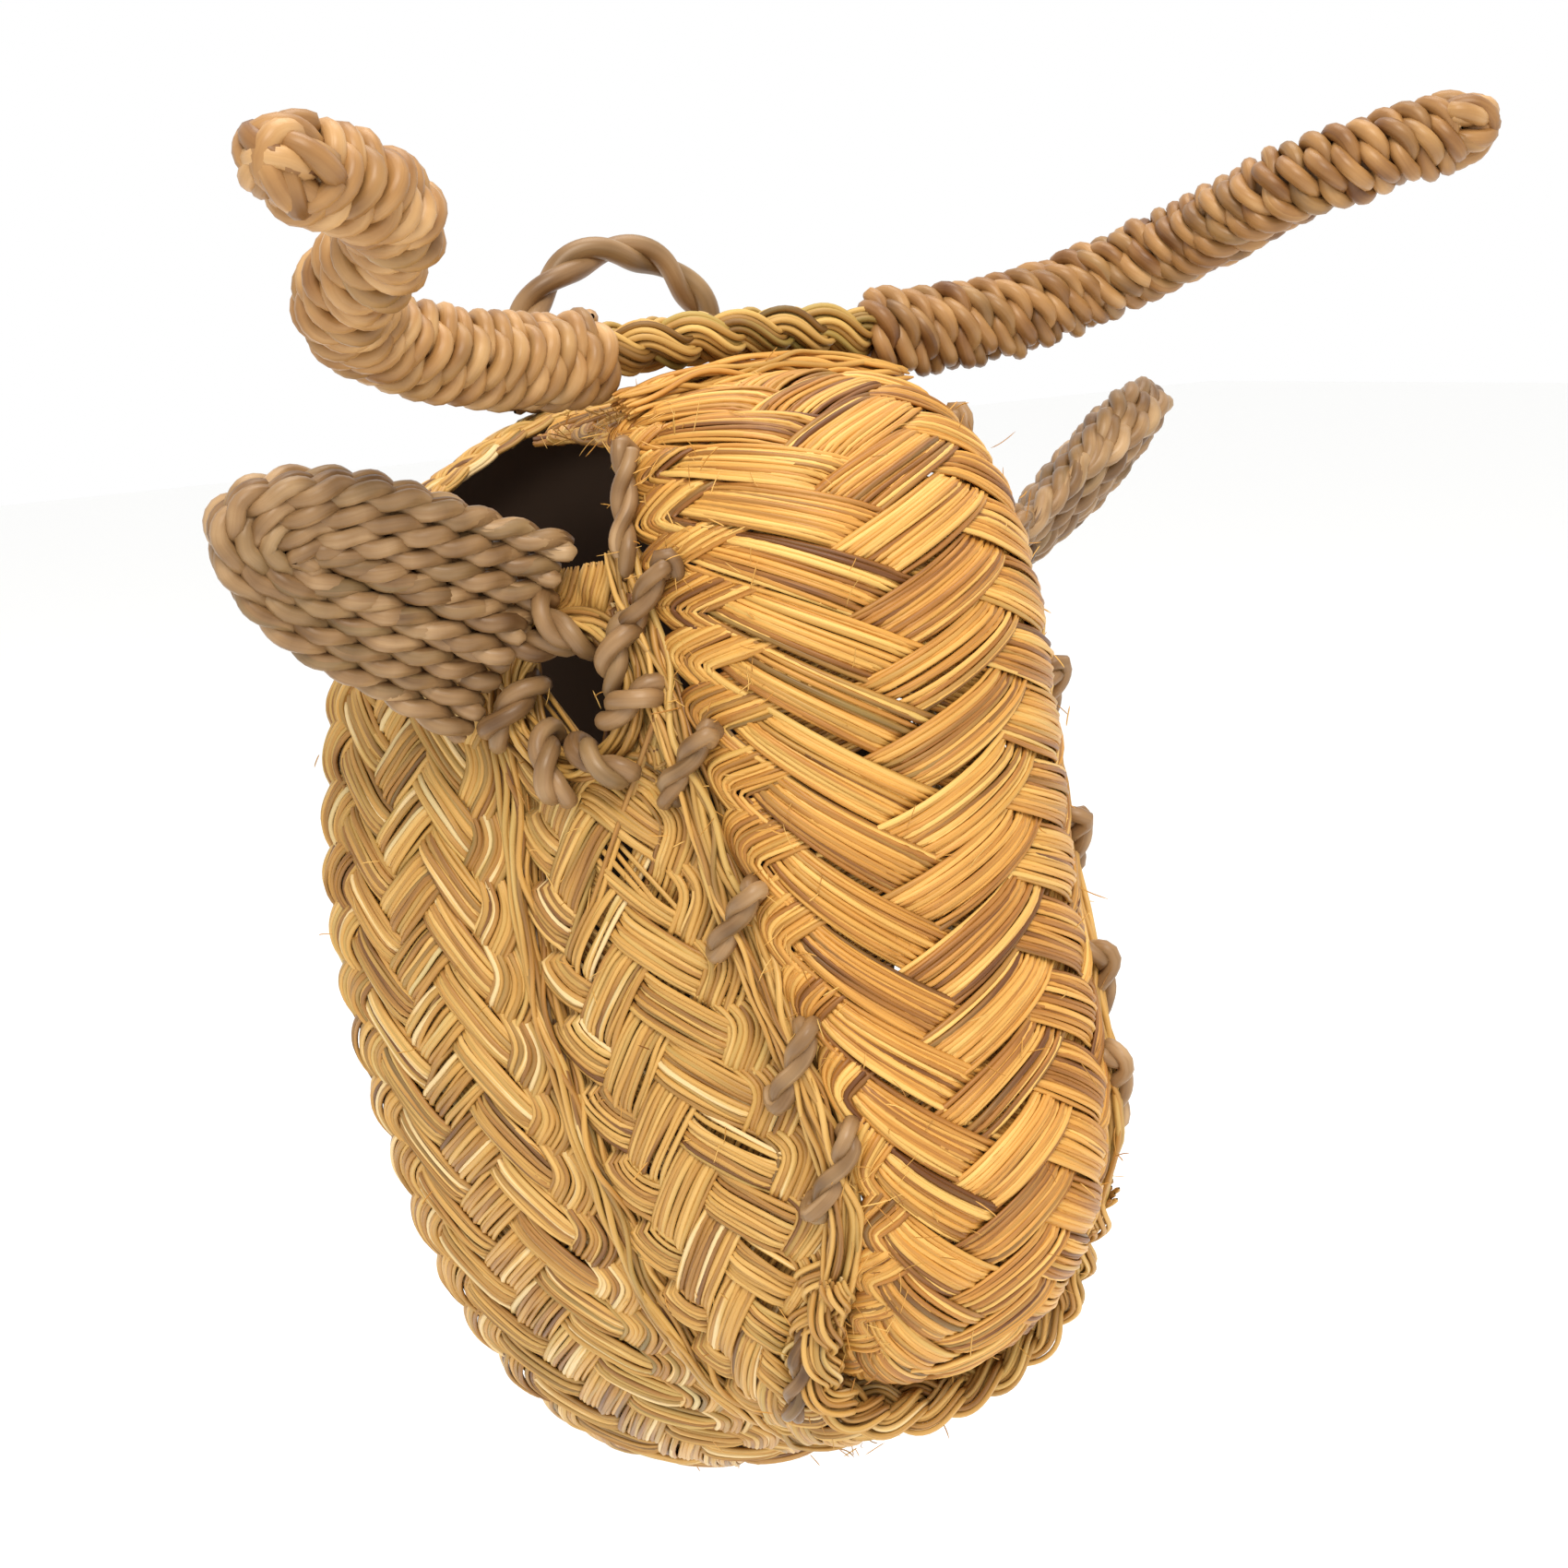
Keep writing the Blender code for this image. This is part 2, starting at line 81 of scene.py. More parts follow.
HORN_TIP_END = (111.5, -112, 16)
LOOP_LINE = [(-21, -15.4), (-20.2, -10.5), (-16.5, -5), (-9, 1.2), (0, 3.25), (9, 1.2), (16.5, -5),
             (20.2, -10.5), (21, -15.4)]
LOOP_PLANE_Y = -4.0
INSIDE = np.array((0.0, -45.0, -110.0))   # a point within the head that every strip faces away from

# ---- driving dimensions, in millimetres ----------------------------------------------------
WALL = 4.0                   # thickness of a plaited strip
SEAM_GAP = 4.2
LOOP_CORD = 6.5
STITCH = 4.0
HORN_RADIUS = (8.2, 7.0)     # over the wrapping, at the base and at the tip
WRAP_CORD = 5.0
WRAP_PITCH = 3.8
WRAP_LAY = 13.0              # length of one full twist of the wrapping cord
EAR_CORD = 4.6
EAR_SPACING = 3.7            # from one row of an ear's cord to the next
EAR_HALF = (24.5, 15.5, 6.0)
EYE_U, EYE_V = 0.070, 0.44   # the eye's centre, as shares along and across the front strip
EYE_SIZE = 19.0
STITCH_LIFT = 2.9            # of the CAD stitch's middle off its strip
STITCH_RISE = 6.5            # half the stitch's height
STITCH_TOP_V = 0.81          # its ends, as shares across the nose band and the front strip
STITCH_FOOT_V = 0.07
STITCH_HEIGHTS = [-37.5, -52.0, -74.0, -98.0, -121.0, -138.0]
SIDES = ((1, "left"), (-1, "right"))

# ---- how the straw lies --------------------------------------------------------------------
FLOAT_SHARPNESS = 2.2        # how quickly a strand goes from over to under
TURN_FADE = 2.5              # mm over which a turning strand changes face at the strip's edge
TURN_HOLD = 4.5              # mm that it stays on its face past the turn
STRAND_FILL = 0.97           # share of a strand's width that its culms fill
STRAY_SHARE = 0.07           # share of culms that wander across their strand
PALE_SHARE = 0.03            # share of culms that are bleached

# ---- camera, at the photograph's angle -----------------------------------------------------
CAMERA_TARGET = (0.0, -0.050, -0.089)
CAMERA_AZIMUTH, CAMERA_ELEVATION, CAMERA_ROLL = -33.5, 12.0, -3.5
CAMERA_DISTANCE = 0.420
CAMERA_LENS = 55.6


def make_camera():
    azimuth, elevation, roll = (math.radians(a) for a in (CAMERA_AZIMUTH, CAMERA_ELEVATION, CAMERA_ROLL))
    back = Vector((math.sin(azimuth) * math.cos(elevation), -math.cos(azimuth) * math.cos(elevation),
                   math.sin(elevation)))
    right = (-back).cross(Vector((0, 0, 1))).normalized()
    up = right.cross(-back)
    rolled_right = right * math.cos(roll) + up * math.sin(roll)
    rolled_up = up * math.cos(roll) - right * math.sin(roll)
    data = bpy.data.cameras.new("camera")
    data.sensor_width = 36.0
    data.lens = CAMERA_LENS
    data.clip_start = 0.01
    camera = bpy.data.objects.new("camera", data)
    bpy.context.scene.collection.objects.link(camera)
    turn = Matrix((rolled_right, rolled_up, back)).transposed().to_4x4()
    camera.matrix_world = Matrix.Translation(Vector(CAMERA_TARGET) + back * CAMERA_DISTANCE) @ turn
    bpy.context.scene.camera = camera


make_camera()


# ---- curves and surfaces -------------------------------------------------------------------
def spline(points, t):
    """Points at t in 0..1 on the smooth curve through evenly numbered points."""
    p = np.asarray(points, float)
    p = np.vstack([2 * p[0] - p[1], p, 2 * p[-1] - p[-2]])
    position = np.clip(t, 0.0, 1.0) * (len(p) - 3)
    index = np.minimum(position.astype(int), len(p) - 4)
    f = (position - index)[..., None]
    p0, p1, p2, p3 = p[index], p[index + 1], p[index + 2], p[index + 3]
    return 0.5 * (2 * p1 + (p2 - p0) * f + (2 * p0 - 5 * p1 + 4 * p2 - p3) * f ** 2
                  + (3 * p1 - p0 - 3 * p2 + p3) * f ** 3)


def unit(vectors):
    return vectors / np.maximum(np.linalg.norm(vectors, axis=-1, keepdims=True), 1e-9)


def mirrored(half):
    half = np.asarray(half, float)
    return np.vstack([half, half[-2::-1] * (-1, 1, 1)])


def nose_surface(u, v):
    """The nose band: u runs crown to muzzle, v runs -1 (goat's right) to 1."""
    middle = spline(NOSE_MIDDLE, u)
    edge = spline(NOSE_EDGE, u)
    rise = np.cos(v * math.pi / 2)
    return np.stack([edge[..., 0] * np.sin(v * math.pi / 2),
                     edge[..., 1] + (middle[..., 0] - edge[..., 1]) * rise,
                     edge[..., 2] + (middle[..., 1] - edge[..., 2]) * rise], axis=-1)


def ruled_surface(front, rear, bulge):
    """A strip between two edges, bowed out in the middle."""
    front, rear = mirrored(front), mirrored(rear)

    def flat(u, v):
        return spline(front, u) * (1 - v[..., None]) + spline(rear, u) * v[..., None]

    def surface(u, v):
        along = flat(np.minimum(u + 0.004, 1), v) - flat(np.maximum(u - 0.004, 0), v)
        out = unit(np.cross(along, spline(rear, u) - spline(front, u)))
        facing = np.sign(np.sum(out * (flat(u, v) - INSIDE), axis=-1, keepdims=True))
        return flat(u, v) + out * facing * bulge * (4 * v * (1 - v))[..., None]
    return surface


def inset(edge, towards, distance):
    edge, towards = np.asarray(edge, float), np.asarray(towards, float)
    return edge + unit(towards - edge) * distance


def wall_side(edge, margin=0.9):
    """An edge on the wall, held off it by the straw's own radius."""
    return [(x, y - margin, z) for x, y, z in edge]


front_surface = ruled_surface(FRONT_EDGE, MIDDLE_EDGE, 3.0)
rear_surface = ruled_surface(inset(MIDDLE_EDGE, REAR_EDGE, SEAM_GAP * 0.3), wall_side(REAR_EDGE), 3.5)
arch_surface = ruled_surface([(x * 0.985, -ARCH_WIDTH, z) for x, y, z in ARCH_REAR], wall_side(ARCH_REAR), 1.2)


class Sheet:
    """A strip's surface as a fine grid, read by s (mm along its middle) and x (-1..1 across it)."""

    def __init__(self, surface, u_from, u_to, v_left, v_right, rows=480, columns=72, margin=0.12):
        u = np.linspace(u_from, u_to, rows)[:, None] * np.ones((1, columns))
        self.reach = 1 + margin
        x = np.linspace(-self.reach, self.reach, columns)[None, :] * np.ones((rows, 1))
        middle, half = (v_left + v_right) / 2, (v_right - v_left) / 2
        self.points = surface(u, middle + half * x)
        down = np.gradient(self.points, axis=0)
        across = np.gradient(self.points, axis=1)
        normals = unit(np.cross(across, down))
        facing = np.sign(np.sum(normals * (self.points - INSIDE)))
        self.normals = normals * facing
        steps = np.linalg.norm(np.diff(self.points[:, columns // 2], axis=0), axis=1)
        self.lengths = np.concatenate([[0], np.cumsum(steps)])
        self.length = self.lengths[-1]

    def at(self, s, x):
        rows, columns = self.points.shape[:2]
        row = np.interp(s, self.lengths, np.arange(rows))
        column = (np.clip(x, -self.reach, self.reach) / self.reach + 1) / 2 * (columns - 1)
        r = np.clip(row.astype(int), 0, rows - 2)
        c = np.clip(column.astype(int), 0, columns - 2)
        fr, fc = (row - r)[..., None], (column - c)[..., None]

        def mix(grid):
            top = grid[r, c] * (1 - fc) + grid[r, c + 1] * fc
            return top * (1 - fr) + (grid[r + 1, c] * (1 - fc) + grid[r + 1, c + 1] * fc) * fr
        return mix(self.points), unit(mix(self.normals))


def on_surface(surface, u, v, lift):
    """One point held a little way off a surface."""
    step = 0.006
    u, v = np.array(float(u)), np.array(float(v))
    along = surface(np.minimum(u + step, 1), v) - surface(np.maximum(u - step, 0), v)
    across = surface(u, v + step) - surface(u, v - step)
    normal = unit(np.cross(along, across))
    point = surface(u, v)
    if np.dot(normal, point - INSIDE) < 0:
        normal = -normal
    return point + normal * lift


# ---- materials -----------------------------------------------------------------------------
def node(tree, kind, **inputs):
    made = tree.nodes.new(kind)
    for name, value in inputs.items():
        made.inputs[name].default_value = value
    return made


def straw_material(name, stops, green, green_amount, roughness, fibre=6.0, bump=0.35):
    """Dry straw: a tone for each culm, streaks along it, a few green runs and fine fibres in the relief."""
    material = bpy.data.materials.new(name)
    material.use_nodes = True
    tree = material.node_tree
    link = tree.links.new
    shader = tree.nodes["Principled BSDF"]
    shader.inputs["Roughness"].default_value = roughness
    shader.inputs["Specular IOR Level"].default_value = 0.35
    tone = tree.nodes.new("ShaderNodeAttribute")
    tone.attribute_name = "tone"
    strand = tree.nodes.new("ShaderNodeAttribute")
    strand.attribute_name = "strand"
    uv = tree.nodes.new("ShaderNodeUVMap")
    split = tree.nodes.new("ShaderNodeSeparateXYZ")
    link(uv.outputs["UV"], split.inputs[0])

    def maths(operation, first, second, third=None):
        """An output put through a sum with a number and, for a multiply-add, another output."""
        made = tree.nodes.new("ShaderNodeMath")
        made.operation = operation
        link(first, made.inputs[0])
        made.inputs[1].default_value = second
        if third is not None:
            link(third, made.inputs[2])
        return made.outputs[0]

    def streaks(around, along, depth):
        """Noise drawn out along the culm, different for each culm."""
        parts = []
        for source, factor in ((split.outputs["X"], around), (split.outputs["Y"], along),
                               (strand.outputs["Fac"], depth)):
            parts.append(maths("MULTIPLY", source, factor))
        joined = tree.nodes.new("ShaderNodeCombineXYZ")
        for part, socket in zip(parts, joined.inputs):
            link(part, socket)
        noise = node(tree, "ShaderNodeTexNoise", Scale=1.0, Detail=3.0, Roughness=0.6)
        link(joined.outputs[0], noise.inputs["Vector"])
        return noise.outputs["Fac"]

    patches = streaks(1.2, 0.35, 61.0)
    fibres = streaks(fibre, 0.5, 97.0)
    runs = streaks(0.6, 0.16, 143.0)
    patched = maths("MULTIPLY_ADD", patches, 0.75, tone.outputs["Fac"])
    streaked = maths("MULTIPLY_ADD", fibres, 0.5, patched)
    centred = maths("SUBTRACT", streaked, 0.62)
    ramp = tree.nodes.new("ShaderNodeValToRGB")
    ramp.color_ramp.elements[0].position = stops[0][0]
    ramp.color_ramp.elements[0].color = (*stops[0][1], 1)
    ramp.color_ramp.elements[1].position = stops[-1][0]
    ramp.color_ramp.elements[1].color = (*stops[-1][1], 1)
    for position, colour in stops[1:-1]:
        ramp.color_ramp.elements.new(position).color = (*colour, 1)
    link(centred, ramp.inputs["Fac"])
    greener = node(tree, "ShaderNodeMapRange", **{"From Min": 0.5, "From Max": 0.72, "To Max": green_amount})
    link(runs, greener.inputs["Value"])
    tint = tree.nodes.new("ShaderNodeMix")
    tint.data_type = "RGBA"
    link(greener.outputs["Result"], tint.inputs["Factor"])
    link(ramp.outputs["Color"], tint.inputs["A"])
    tint.inputs["B"].default_value = (*green, 1)
    link(tint.outputs["Result"], shader.inputs["Base Color"])
    relief = node(tree, "ShaderNodeBump", Strength=bump, Distance=0.0002)
    link(fibres, relief.inputs["Height"])
    link(relief.outputs["Normal"], shader.inputs["Normal"])
    return material


GOLD = straw_material("golden_straw", [
    (0.0, (0.13, 0.045, 0.009)), (0.3, (0.36, 0.148, 0.027)), (0.6, (0.60, 0.292, 0.058)),
    (1.0, (0.76, 0.46, 0.13))], (0.36, 0.28, 0.075), 0.45, 0.42)
PALE = straw_material("pale_straw", [
    (0.0, (0.15, 0.060, 0.016)), (0.3, (0.37, 0.178, 0.041)), (0.6, (0.56, 0.310, 0.078)),
    (0.9, (0.66, 0.410, 0.13)), (1.0, (0.76, 0.56, 0.28))], (0.32, 0.28, 0.09), 0.5, 0.42)
GREEN = straw_material("green_straw", [
    (0.0, (0.12, 0.055, 0.012)), (0.4, (0.36, 0.185, 0.04)), (1.0, (0.66, 0.41, 0.12))],
    (0.30, 0.26, 0.06), 0.8, 0.5)
TAN = straw_material("tan_cord", [
    (0.0, (0.11, 0.040, 0.010)), (0.3, (0.24, 0.112, 0.034)), (0.65, (0.38, 0.200, 0.070)),
    (1.0, (0.56, 0.34, 0.15))], (0.30, 0.22, 0.09), 0.3, 0.38, fibre=9.0, bump=0.5)
GREY = straw_material("grey_cord", [
    (0.0, (0.08, 0.036, 0.012)), (0.3, (0.18, 0.096, 0.038)), (0.65, (0.30, 0.175, 0.078)),
    (1.0, (0.48, 0.31, 0.16))], (0.23, 0.18, 0.08), 0.4, 0.38, fibre=9.0, bump=0.5)


# ---- tubes of straw ------------------------------------------------------------------------
def distances(path):
    """How far along a path each of its points is."""
    return np.concatenate([[0], np.cumsum(np.linalg.norm(np.diff(path, axis=0), axis=1))])


def some_side(tangent):
    """A direction that is well off the tangent."""
    return np.array((0.0, 0.0, 1.0)) if abs(tangent[2]) < 0.8 else np.array((1.0, 0.0, 0.0))


def transported(tangents, start):
    """A side direction carried along a path without twisting."""
    sides = np.empty_like(tangents)
    side = start - tangents[0] * np.dot(start, tangents[0])
    for i, tangent in enumerate(tangents):
        side = side - tangent * np.dot(side, tangent)
        side = side / max(np.linalg.norm(side), 1e-9)
        sides[i] = side
    return sides


class Tubes:
    """Collects round tubes along paths and makes them one mesh, with a tone and a length for each culm."""

    def __init__(self, sides):
        self.sides = sides
        self.points, self.tones, self.strands, self.uvs, self.faces = [], [], [], [], []
        self.count = 0

    def add(self, path, radius, tone, normals=None, flat=1.0):
        """path is (m, 3); radius one number or m of them; flat thins the tube along its normals."""
        m = len(path)
        if m < 3:
            return
        tangents = unit(np.gradient(path, axis=0))
        if normals is None:
            across = transported(tangents, some_side(tangents[0]))
        else:
            across = unit(np.cross(tangents, normals))
        up = np.cross(across, tangents)
        angles = np.arange(self.sides) * 2 * math.pi / self.sides + 0.4
        radii = np.broadcast_to(np.asarray(radius, float), (m,)).copy()
        radii[[0, -1]] *= 0.35
        ring = (across[:, None] * np.cos(angles)[None, :, None]
                + up[:, None] * (np.sin(angles) * flat)[None, :, None]) * radii[:, None, None]
        self.points.append((path[:, None] + ring).reshape(-1, 3))
        self.tones.append(np.repeat(np.broadcast_to(np.asarray(tone, float), (m,)), self.sides))
        self.strands.append(np.full(m * self.sides, len(self.tones) * GOLDEN_ANGLE % 1.0))
        index = np.arange(m * self.sides).reshape(m, self.sides) + self.count
        after = np.roll(index, -1, axis=1)
        quads = np.stack([index[:-1], after[:-1], after[1:], index[1:]], axis=-1).reshape(-1, 4)
        self.faces.append(quads)
        run = distances(path) / 10
        around = np.arange(self.sides + 1) / self.sides
        low = np.broadcast_to(run[:-1, None], (m - 1, self.sides))
        high = np.broadcast_to(run[1:, None], (m - 1, self.sides))
        here = np.broadcast_to(around[:-1], (m - 1, self.sides))
        there = np.broadcast_to(around[1:], (m - 1, self.sides))
        corners = np.stack([np.stack([here, low], -1), np.stack([there, low], -1),
                            np.stack([there, high], -1), np.stack([here, high], -1)], axis=2)
        self.uvs.append(corners.reshape(-1, 2))
        self.count += m * self.sides

    def build(self, name, material, body="head", replaces=()):
        points = np.concatenate(self.points) * MM
        quads = np.concatenate(self.faces)
        mesh = bpy.data.meshes.new(name)
        mesh.vertices.add(len(points))
        mesh.vertices.foreach_set("co", points.astype(np.float32).ravel())
        mesh.loops.add(quads.size)
        mesh.loops.foreach_set("vertex_index", quads.astype(np.int32).ravel())
        mesh.polygons.add(len(quads))
        mesh.polygons.foreach_set("loop_start", np.arange(0, quads.size, 4, dtype=np.int32))
        mesh.update(calc_edges=True)
        corners = mesh.uv_layers.new(name="straw").data
        corners.foreach_set("uv", np.concatenate(self.uvs).astype(np.float32).ravel())
        for label, values in (("tone", self.tones), ("strand", self.strands)):
            attribute = mesh.attributes.new(label, "FLOAT", "POINT")
            attribute.data.foreach_set("value", np.concatenate(values).astype(np.float32))
        mesh.shade_smooth()
        mesh.materials.append(material)
        obj = bpy.data.objects.new(name, mesh)
        bpy.context.scene.collection.objects.link(obj)
        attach(obj, body)
        if replaces:
            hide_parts(*replaces)
        return obj


def wobble(s, amplitude, wavelength):
    """A smooth random drift along a culm."""
    total = np.zeros_like(s)
    for share, length in ((0.6, wavelength), (0.4, wavelength * 0.43)):
        total += share * np.sin(2 * math.pi * (s / length + rng.random()))
    return total * amplitude


def pick_tone(spread=0.24, middle=0.5):
    return float(np.clip(rng.normal(middle, spread), 0.0, 1.0))


# ---- plaited strips ------------------------------------------------------------------------
class Plait:
    """A flat plait: each strand runs from edge to edge, over two and under two of the others."""

    def __init__(self, strands, width, pitch, over_at, phase=0.0):
        self.strands = strands          # number of strands
        self.width = width              # of the strip, along its surface
        self.pitch = pitch              # from one row to the next, along the strip
        self.over_at = over_at          # the crossing column in the middle of a float of the \ strands
        self.phase = phase
        self.period = strands * pitch
        self.slope = 2 * width / self.period
        self.sine = 1 / math.hypot(1, self.slope)
        self.strand_width = pitch * self.slope * self.sine

    def turn(self, offset):
        """How widely a culm turns at the strip's edge: the outer culms take the wider turn."""
        return (self.strand_width / 2 + offset * (1 / self.sine - 1)) / self.slope

    def culm(self, s, strand, offset, height):
        """Places across the strip and heights in it for one culm of a strand."""
        cycle = ((s - self.phase - strand * self.pitch) / self.period) % 1.0
        left = (cycle - np.round(cycle)) * self.period
        right = (cycle - 0.5) * self.period
        half = self.width / 2
        from_left = -half - offset / self.sine + self.slope * np.hypot(left, self.turn(offset))
        from_right = half - offset / self.sine - self.slope * np.hypot(right, self.turn(-offset))
        share = np.clip(np.abs(left) / (self.period / 2), 0, 1)
        share = share * share * (3 - 2 * share)
        across = from_left * (1 - share) + from_right * share
        column_left = (np.abs(left) + (across + half) / self.slope) / self.pitch
        column_right = self.strands - (np.abs(right) + (half - across) / self.slope) / self.pitch
        column = column_left * (1 - share) + column_right * share
        inside = np.minimum(left - self.hold(0), -right - self.hold(self.strands))
        leg = np.tanh(inside / TURN_FADE)
        over = np.tanh(FLOAT_SHARPNESS * np.cos(2 * math.pi * (column - self.over_at) / 4))
        return across, height * leg * over

    def hold(self, column):
        """How far a turning strand stays on top past the edge's own turn."""
        return -TURN_HOLD * math.copysign(1.0, math.cos(2 * math.pi * (column - self.over_at) / 4))


def part_culms(s, c, hole):
    """Culms that would cross a hole are bent round it."""
    if hole is None:
        return s, c, np.zeros_like(s)
    centre_s, centre_c, radius = hole
    ds, dc = s - centre_s, c - centre_c
    nearest = int(np.argmin(ds * ds + dc * dc))
    if math.hypot(ds[nearest], dc[nearest]) > radius * 1.5:
        return s, c, np.zeros_like(s)
    before, after = max(nearest - 2, 0), min(nearest + 2, len(s) - 1)
    along = np.array((s[after] - s[before], c[after] - c[before]))
    along = along / max(np.linalg.norm(along), 1e-9)
    t = ds * along[0] + dc * along[1]
    b = -ds * along[1] + dc * along[0]
    side = 1.0 if b[nearest] >= 0 else -1.0
    room = radius * np.exp(-(t / (radius * 0.98)) ** 4)
    pushed = side * np.sqrt(b * b + room * room)
    pushed = np.where(np.abs(t) < radius * 2, pushed, b)
    move = pushed - b
    return s - move * along[1], c + move * along[0], np.abs(move) / radius


def weave(name, sheet, plait, culms, radius, material, replaces, holes=(), height=1.0, step=1.15, tone=0.5,
          stretch=1.0):
    """All the strands of one strip, laid on its sheet."""
    count = int(sheet.length / step)
    s = np.linspace(0, sheet.length, count)
    tubes = Tubes(5)
    for strand in range(plait.strands):
        drift = wobble(s, 0.45, 70)
        strand_tone = rng.normal(0, 0.07)
        for number in range(culms):
            place = (number + 0.5) / culms - 0.5
            offset = place * plait.strand_width * STRAND_FILL + wobble(s, 0.22, 38)
            if rng.random() < STRAY_SHARE:
                offset = offset + wobble(s, 0.8, 60)
            offset = np.clip(offset, -plait.strand_width / 2, plait.strand_width / 2)
            c, lift = plait.culm(s + drift, strand, offset, height)
            dome = 0.42 * (1 - (2 * place) ** 2) + 0.22 * abs(math.sin(2 * math.pi * place)) - 0.3
            sign = np.where(lift >= 0, 1.0, -1.0)
            lift = lift + dome * sign + wobble(s, 0.16, 25) + rng.normal(0, 0.17)
            here, moved = s, np.zeros_like(s)
            for hole in holes:
                here, c, more = part_culms(here, c, hole)
                moved = moved + more
            lift = lift + moved * rng.uniform(-0.6, 1.1)
            points, normals = sheet.at(here, stretch * c / (plait.width / 2))
            path = points + normals * (lift - WALL / 2)[:, None]
            size = radius * rng.uniform(0.85, 1.18)
            shade = pick_tone(0.2, tone) + strand_tone
            if rng.random() < PALE_SHARE:
                shade = rng.uniform(0.9, 1.15)
            tubes.add(path, size, shade + wobble(s, 0.16, 52), normals, flat=0.85)
    return tubes.build(name, material, replaces=replaces)


def eye_holes():
    """Where the eyes are on the front strip's sheet: mm along it, mm across it, and the radius."""
    half = front_sheet.length / 2
    found = []
    for side, _ in SIDES:
        u = EYE_U if side > 0 else 1 - EYE_U
        row = int(round((1 - u) * (len(front_sheet.lengths) - 1)))
        s = front_sheet.lengths[row]
        found.append((s, (0.5 - EYE_V) * FRONT_PLAIT.width, EYE_SIZE / 2 + 1.5))
    return found


NOSE_PLAIT = Plait(9, 79.0, 11.2, 2.5, phase=2.0)
FRONT_PLAIT = Plait(7, 37.0, 11.4, 0.5, phase=4.0)
REAR_PLAIT = Plait(9, 48.0, 11.4, 2.5, phase=1.0)
ARCH_PLAIT = Plait(5, 13.0, 6.5, 2.5)
nose_sheet = Sheet(nose_surface, 0, 1, -1, 1)
front_sheet = Sheet(front_surface, 1, 0, 1, 0)
rear_sheet = Sheet(rear_surface, 1, 0, 1, 0, margin=0.0)
arch_sheet = Sheet(arch_surface, 1, 0, 1, 0, margin=0.0)


# ---- cords ---------------------------------------------------------------------------------
def resample(points, step):
    """Evenly spaced points along a run of points."""
    points = np.asarray(points, float)
    run = distances(points)
    count = max(int(run[-1] / step) + 1, 4)
    at = np.linspace(0, run[-1], count)
    return np.stack([np.interp(at, run, points[:, i]) for i in range(3)], axis=-1)


def framed(route, step, start=None):
    """A route resampled, with two directions across it and the distance run at each of its points."""
    path = resample(route, step)
    tangents = unit(np.gradient(path, axis=0))
    first = transported(tangents, some_side(tangents[0]) if start is None else np.array(start))
    return path, first, np.cross(tangents, first), distances(path)


def twist(tubes, points, diameter, lay, plies=2, step=0.9, tone=0.5, start=0.0, spread=0.16, hand=1,
          fatness=0.275):
    """A cord of two or more plies twisted round each other along a run of points."""
    path, first, second, run = framed(points, step)
    for ply in range(plies):
        angle = hand * 2 * math.pi * (run / lay + ply / plies) + start
        angle = angle + wobble(run, 0.16, lay * 3)
        swing = diameter * 0.23
        route = path + first * (np.cos(angle) * swing)[:, None] + second * (np.sin(angle) * swing)[:, None]
        size = diameter * (fatness + wobble(run, 0.018, lay * 1.7))
        tubes.add(route, size, pick_tone(spread, tone) + wobble(run, 0.2, lay * 0.8))


def bundle(tubes, route, radius, culms, culm_radius, tone, step=1.7, drift=0.9):
    """Loose culms running side by side along a route and slowly changing places."""
    path, first, second, run = framed(route, step)
    for number in range(culms):
        angle = number * GOLDEN_ANGLE + wobble(run, drift, 55)
        out = radius * math.sqrt((number + 0.5) / culms) + wobble(run, 0.3, 30)
        course = path + first * (np.cos(angle) * out)[:, None] + second * (np.sin(angle) * out)[:, None]
        tubes.add(course, culm_radius * rng.uniform(0.85, 1.2), pick_tone(0.2, tone) + wobble(run, 0.12, 50))


def loop_route(count):
    flat = spline(LOOP_LINE, np.linspace(0, 1, count))
    return np.stack([flat[:, 0], np.full(count, LOOP_PLANE_Y), flat[:, 1]], axis=-1)


def hanging_loop():
    tubes = Tubes(12)
    route = loop_route(60)
    twist(tubes, route, LOOP_CORD * 0.95, 24, tone=0.5, spread=0.06, fatness=0.315)
    loop = tubes.build("hanging_loop_cord", GREY, body="loop", replaces=["hanging_loop"])
    length = float(distances(route)[-1]) * MM


def loop_knots():
    for side, label in SIDES:
        tubes = Tubes(10)
        x, y, z = side * LOOP_LINE[-1][0], LOOP_PLANE_Y - 1.0, LOOP_LINE[-1][1] - 6.2
        turns = []
        for i in range(60):
            angle = 2 * math.pi * i / 26
            turns.append((x + 2.9 * math.cos(angle), y + 2.7 * math.sin(angle), z + 1.8 - 3.4 * i / 59))
        twist(tubes, turns, 3.2, 9, tone=0.4)
        tubes.build(f"loop_knot_cord_{label}", GREY, replaces=[f"loop_knot_{label}"])


# ---- horns ---------------------------------------------------------------------------------
def horn_axis(side, count=400):
    line = [(side * x, y, z) for x, y, z in HORN_LINE]
    return resample(spline(line, np.linspace(0, 1, count)), 0.3)


